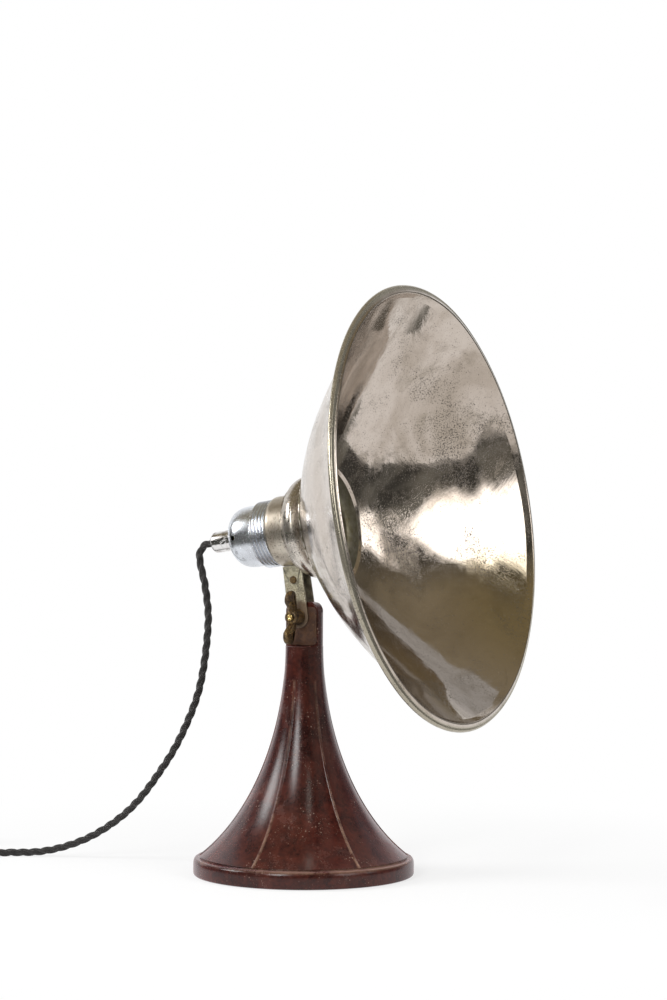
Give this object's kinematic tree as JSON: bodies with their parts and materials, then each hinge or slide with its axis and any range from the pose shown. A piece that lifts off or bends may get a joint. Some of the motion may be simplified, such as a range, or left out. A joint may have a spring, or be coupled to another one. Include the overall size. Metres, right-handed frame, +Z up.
{
  "type": "table lamp",
  "caption": "Free-standing table lamp: a wide spun reflector on a lampholder tilts by a wing nut on a ribbed trumpet-shaped stand, with a twisted fabric cord.",
  "frame": {"origin": "centre of the foot's underside, on the felt pad", "axes": "+X is the way the reflector opens, seen from above; +Z is up; the hinge axis is along Y, with the wing nut at -Y"},
  "size_m": [0.4131, 0.267, 0.3553],
  "materials": {
    "stand_moulding": "gloss",
    "rusty_steel": "matte",
    "cast_weight": "matte",
    "felt": "matte",
    "plain_steel": "satin",
    "aged_nickel": "satin",
    "bright_zinc": "gloss",
    "porcelain": "gloss",
    "contact_brass": "satin",
    "chromed_steel": "gloss",
    "dark_brass": "satin",
    "cord_fabric": "matte",
    "plug_moulding": "gloss"
  },
  "bodies": {
    "stand": {"stand": "stand_moulding", "near_friction_plate": "rusty_steel", "far_friction_plate": "rusty_steel", "foot_weight": "cast_weight", "cover_plate": "rusty_steel", "felt_pad": "felt", "tie_rod": "plain_steel", "tie_rod_nut": "plain_steel", "tie_rod_washer": "plain_steel", "cord_drop": "cord_fabric", "cord_run": "cord_fabric", "cord_coil": "cord_fabric", "plug_body": "plug_moulding", "plug_pin_left": "contact_brass", "plug_pin_right": "contact_brass"},
    "head": {"reflector": "aged_nickel", "neck_cup": "aged_nickel", "shade_ring": "bright_zinc", "collar": "aged_nickel", "holder_skirt": "bright_zinc", "holder_cap": "bright_zinc", "holder_insert": "porcelain", "screw_shell": "contact_brass", "centre_contact": "contact_brass", "terminal_screw_near": "contact_brass", "terminal_screw_far": "contact_brass", "threaded_nipple": "contact_brass", "lock_nut": "contact_brass", "cord_grip": "chromed_steel", "grip_screw": "chromed_steel", "near_strap": "aged_nickel", "far_strap": "aged_nickel", "strap_rivet": "dark_brass", "hinge_bolt": "contact_brass", "far_washer": "dark_brass"},
    "washer": {"near_washer": "dark_brass"},
    "wing_nut": {"wing_nut": "dark_brass"}
  },
  "joints": [
    {"name": "head_tilt", "type": "hinge", "parent": "stand", "child": "head", "pos_m": [-0.0015, 0, 0.1564], "axis": [0, 1, 0], "range_deg": [-75, 35], "deforming": ["cord_drop"]},
    {"name": "washer_slide", "type": "slide", "parent": "head", "child": "washer", "axis": [0, -1, 0], "range_m": [0, 0.0007]},
    {"name": "wing_nut_turn", "type": "hinge", "parent": "washer", "child": "wing_nut", "pos_m": [-0.0015, 0, 0.1564], "axis": [0, -1, 0], "range_deg": [0, 360]}
  ],
  "couplings": [
    {"joint": "washer_slide", "follows": "wing_nut_turn", "m_per_rad": 0.00011141}
  ]
}
